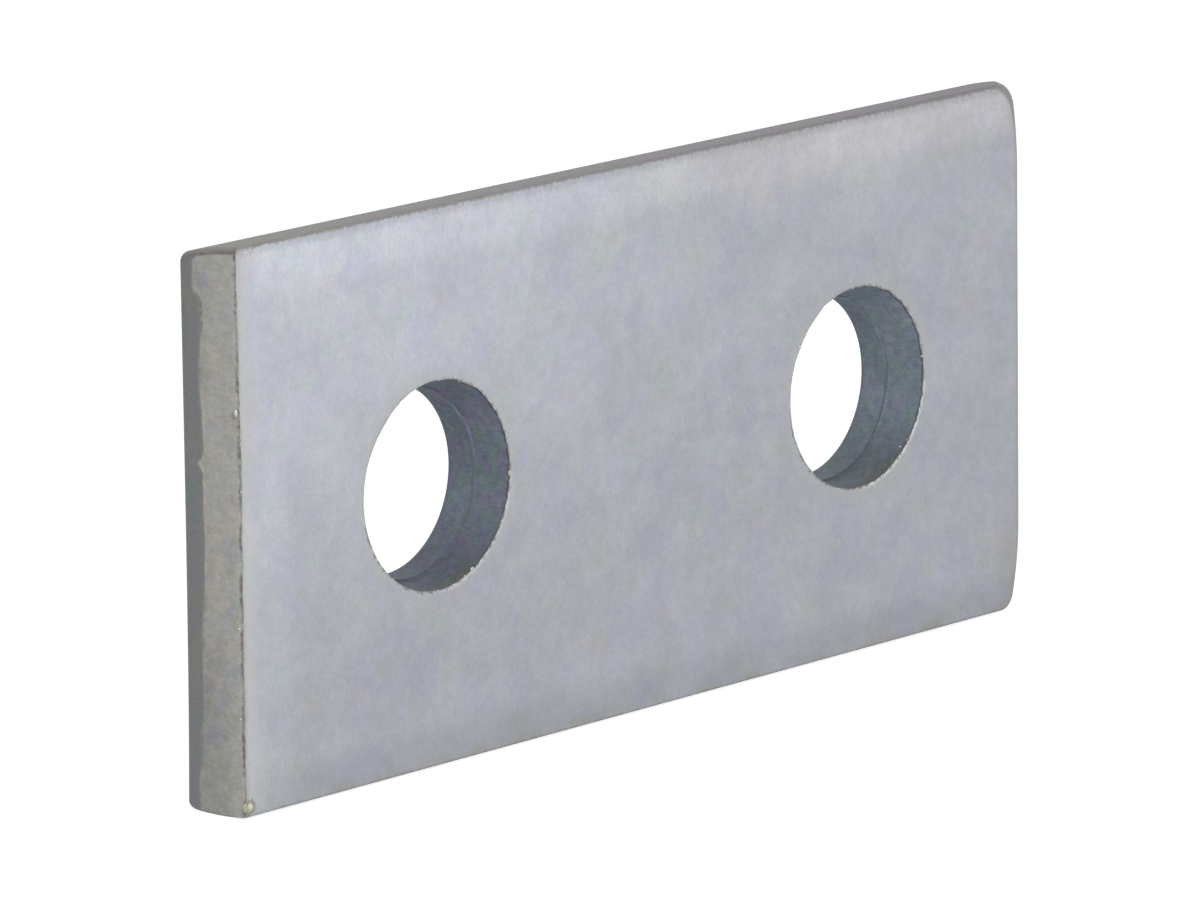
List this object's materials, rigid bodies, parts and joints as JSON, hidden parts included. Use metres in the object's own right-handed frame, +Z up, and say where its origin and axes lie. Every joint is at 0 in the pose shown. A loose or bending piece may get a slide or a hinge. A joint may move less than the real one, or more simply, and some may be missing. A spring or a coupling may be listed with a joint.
{
  "type": "extrusion joining plate",
  "caption": "Flat rectangular zinc-plated steel plate with a round bolt hole near each end, bolted across a joint to hold lengths of metal framing in line.",
  "frame": {"origin": "middle of the long edge that the plate stands on, half way through its thickness", "axes": "+X along the plate, +Y out of the back face, where the punch entered, +Z up its width"},
  "size_m": [0.0888, 0.006, 0.0423],
  "materials": {
    "zinc_plated_steel": "satin, clear passivated zinc plate"
  },
  "bodies": {
    "root": {"joining_plate": "zinc_plated_steel"}
  },
  "joints": []
}
